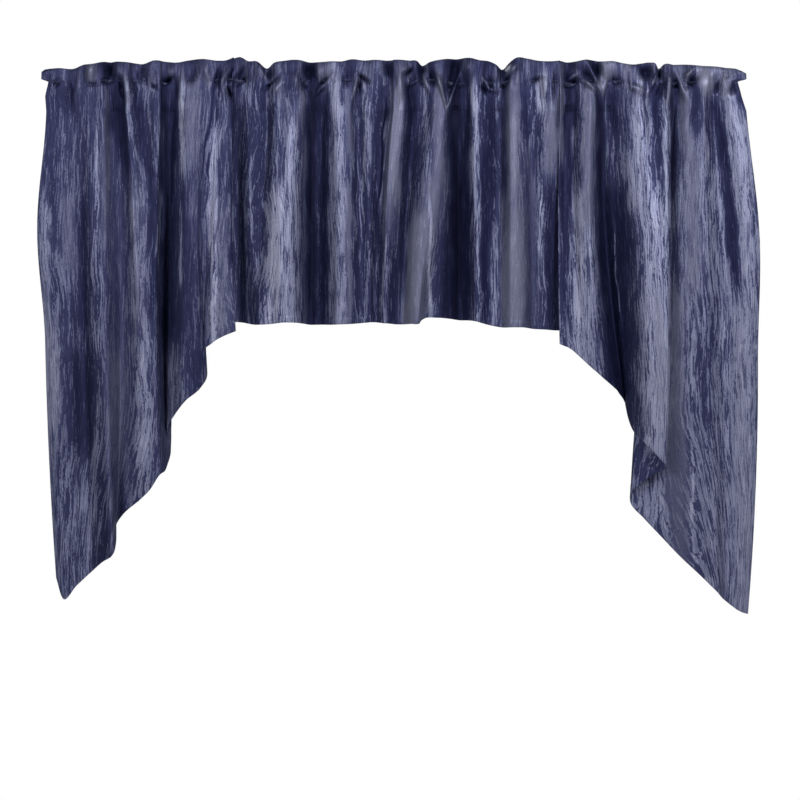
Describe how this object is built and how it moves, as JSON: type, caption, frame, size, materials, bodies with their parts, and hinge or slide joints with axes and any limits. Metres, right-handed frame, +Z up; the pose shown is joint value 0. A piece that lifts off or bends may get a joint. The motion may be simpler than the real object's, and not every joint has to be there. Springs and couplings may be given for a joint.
{
  "type": "swag window valance",
  "caption": "Scalloped swag valance of navy streaked satin: two swags with long outer tails and a centre panel, gathered on a rod pocket under a ruffled header.",
  "frame": {"origin": "on the line of the curtain rod, at mid-height of the rod pocket and in the middle of the valance", "axes": "+X across to the right as seen from the front, the front faces -Y, +Z up"},
  "size_m": [1.2277, 0.067, 0.951],
  "materials": {
    "satin": "dull satin jacquard with bark-like upright streaks"
  },
  "bodies": {
    "root": {"left_heading": "satin", "centre_heading": "satin", "right_heading": "satin", "left_swag": "satin", "centre_valance": "satin", "right_swag": "satin"}
  },
  "joints": []
}
